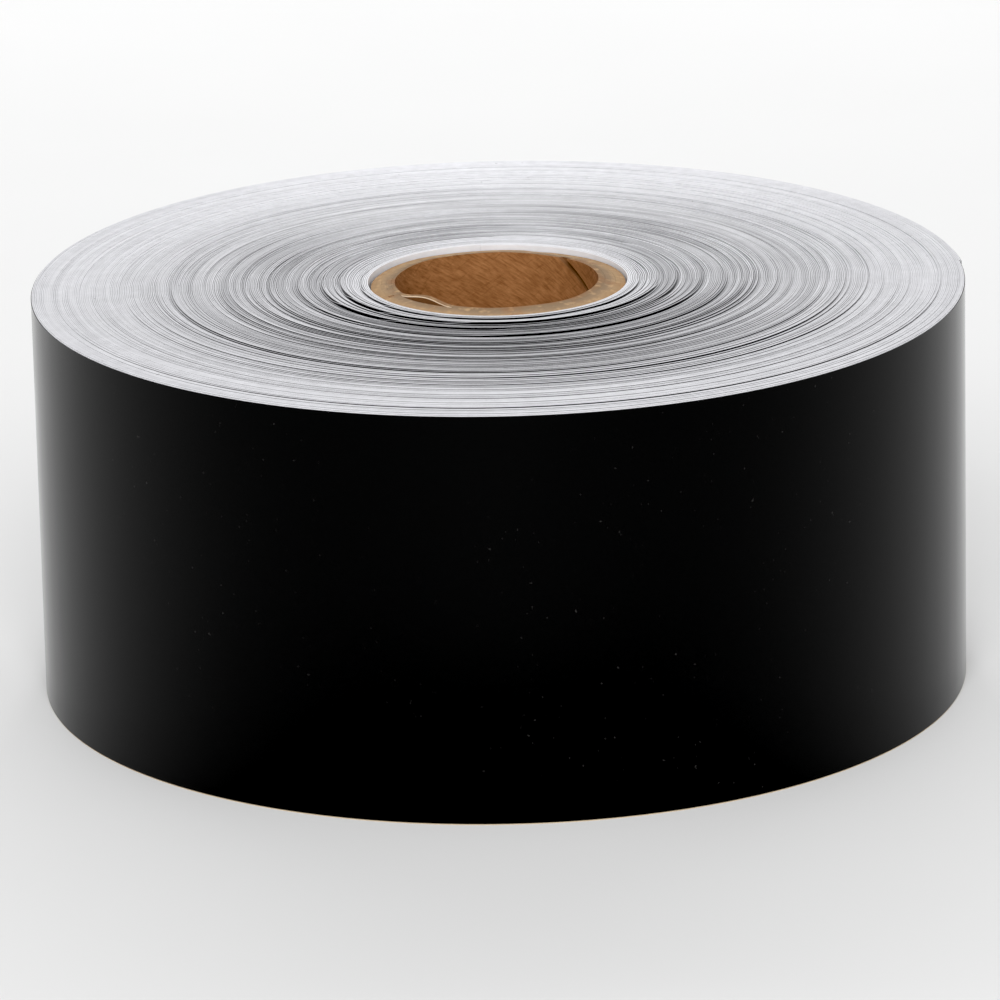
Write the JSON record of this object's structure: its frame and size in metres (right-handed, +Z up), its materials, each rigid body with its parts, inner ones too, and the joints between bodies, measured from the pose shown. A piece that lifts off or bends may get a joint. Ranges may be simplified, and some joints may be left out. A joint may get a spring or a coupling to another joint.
{
  "type": "roll of sign vinyl",
  "caption": "Roll of black self-adhesive sign vinyl with its white release liner, wound on a spiral paper core. Its free end lifts off the roll and the film peels from the liner.",
  "frame": {"origin": "centre of the end face that the roll stands on, on the roll's axis", "axes": "+Z up along the roll's axis; +X towards the free edge of the web, which lies 5 degrees round from it; the web runs inwards anticlockwise seen from above"},
  "size_m": [0.1157, 0.1157, 0.0508],
  "materials": {
    "core_board": "matte",
    "core_outer_board": "matte",
    "start_tape": "matte",
    "liner_paper": "satin",
    "clear_adhesive": "gloss",
    "black_vinyl": "satin",
    "web_edges": "matte"
  },
  "bodies": {
    "roll": {"core_ply_1": "core_board", "core_ply_2": "core_board", "core_ply_3": "core_board", "core_ply_4": "core_board", "core_ply_5": "core_outer_board", "start_tape": "start_tape", "inner_turns_liner": "liner_paper", "inner_turns_adhesive": "clear_adhesive", "inner_turns_film": "black_vinyl", "wound_turns": "web_edges", "outer_turn_liner": "liner_paper", "outer_turn_adhesive": "clear_adhesive", "outer_turn_film": "black_vinyl"},
    "tail_link_1": {"tail_liner_1": "liner_paper", "tail_adhesive_1": "clear_adhesive", "tail_film_1": "black_vinyl"},
    "tail_link_2": {"tail_liner_2": "liner_paper", "tail_adhesive_2": "clear_adhesive", "tail_film_2": "black_vinyl"},
    "tail_link_3": {"tail_liner_3": "liner_paper", "tail_adhesive_3": "clear_adhesive", "tail_film_3": "black_vinyl"},
    "tail_link_4": {"tail_liner_4": "liner_paper", "tail_adhesive_4": "clear_adhesive", "tail_film_4": "black_vinyl"},
    "film_flap": {"flap_adhesive": "clear_adhesive", "flap_film": "black_vinyl"}
  },
  "joints": [
    {"name": "tail_lift_1", "type": "hinge", "parent": "roll", "child": "tail_link_1", "pos_m": [0.015, 0.05598, 0.0254], "axis": [0, 0, 1], "range_deg": [0, 20], "stiffness_Nm_per_rad": 0.0005},
    {"name": "tail_lift_2", "type": "hinge", "parent": "tail_link_1", "child": "tail_link_2", "pos_m": [0.02898, 0.0502, 0.0254], "axis": [0, 0, 1], "range_deg": [0, 20], "stiffness_Nm_per_rad": 0.0005},
    {"name": "tail_lift_3", "type": "hinge", "parent": "tail_link_2", "child": "tail_link_3", "pos_m": [0.04099, 0.04099, 0.0254], "axis": [0, 0, 1], "range_deg": [0, 20], "stiffness_Nm_per_rad": 0.0005},
    {"name": "tail_lift_4", "type": "hinge", "parent": "tail_link_3", "child": "tail_link_4", "pos_m": [0.05021, 0.02899, 0.0254], "axis": [0, 0, 1], "range_deg": [0, 20], "stiffness_Nm_per_rad": 0.0005},
    {"name": "film_peel", "type": "hinge", "parent": "tail_link_4", "child": "film_flap", "pos_m": [0.05255, 0.0245, 0.0254], "axis": [0, 0, 1], "range_deg": [0, 135], "stiffness_Nm_per_rad": 0.0001}
  ],
  "couplings": [
    {"joint": "tail_lift_2", "follows": "tail_lift_1", "ratio": 1},
    {"joint": "tail_lift_3", "follows": "tail_lift_1", "ratio": 1},
    {"joint": "tail_lift_4", "follows": "tail_lift_1", "ratio": 1}
  ]
}
